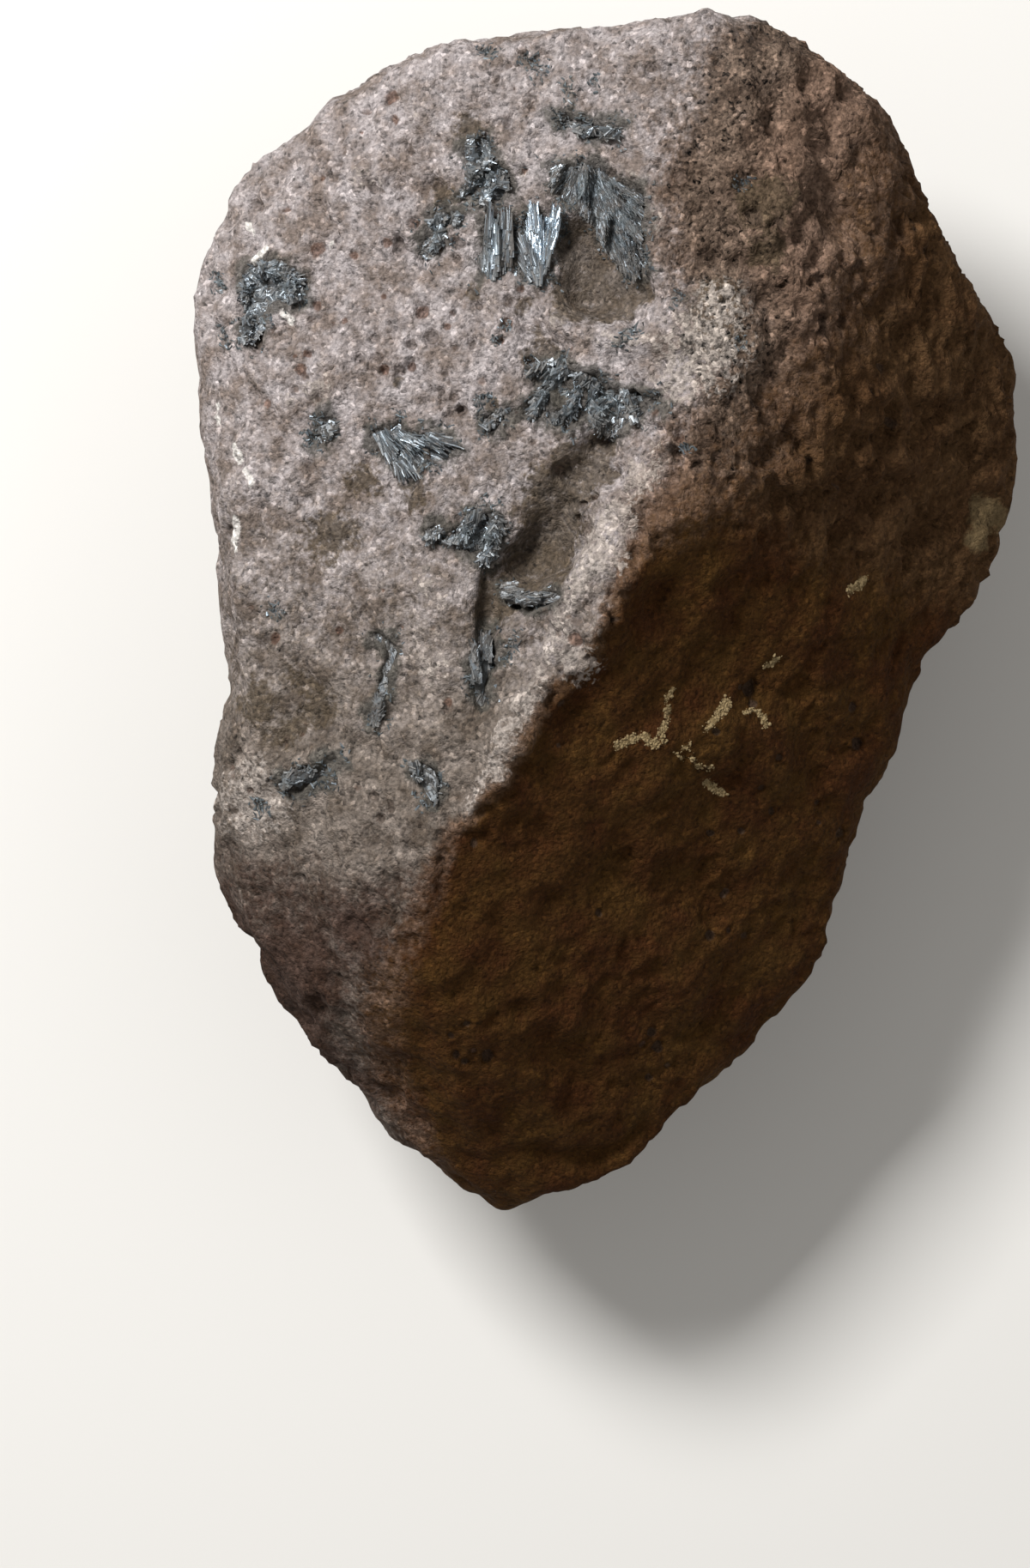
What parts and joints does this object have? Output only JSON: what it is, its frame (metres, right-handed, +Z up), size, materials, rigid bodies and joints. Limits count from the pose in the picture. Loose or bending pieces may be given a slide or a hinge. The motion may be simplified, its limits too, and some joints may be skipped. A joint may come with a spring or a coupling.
{
  "type": "pyrolusite specimen",
  "caption": "Broken lump of brown volcanic rock with dark metallic pyrolusite crystals in its hollows and seams, lying on its flat back to show the mineral.",
  "frame": {"origin": "middle of the specimen's outline as seen from above, on the surface that it rests on", "axes": "+Y along the length towards the broad top end, +X across the width, +Z up towards the face that shows the crystals"},
  "size_m": [0.087, 0.1276, 0.0634],
  "materials": {
    "volcanic_rock": "rough broken volcanic rock, mauve-grey on the fresh break and olive-brown on the weathered side",
    "pyrolusite_crystal": "steel-grey to black metallic blades and needles"
  },
  "bodies": {
    "root": {"host_rock": "volcanic_rock", "crystals_upper_cluster": "pyrolusite_crystal", "crystals_upper_left_sprig": "pyrolusite_crystal", "crystals_striped_seam": "pyrolusite_crystal", "crystals_radiating_fan": "pyrolusite_crystal", "crystals_dark_ledge": "pyrolusite_crystal", "crystals_left_cluster": "pyrolusite_crystal", "crystals_centre_cluster": "pyrolusite_crystal", "crystals_needle_spray": "pyrolusite_crystal", "crystals_left_outlier": "pyrolusite_crystal", "crystals_lower_knot": "pyrolusite_crystal", "crystals_flat_seam": "pyrolusite_crystal", "crystals_groove_seam": "pyrolusite_crystal", "crystals_curved_vein": "pyrolusite_crystal", "crystals_lower_left_patch": "pyrolusite_crystal", "crystals_lower_right_patch": "pyrolusite_crystal", "crystals_top_stringer": "pyrolusite_crystal"}
  },
  "joints": []
}
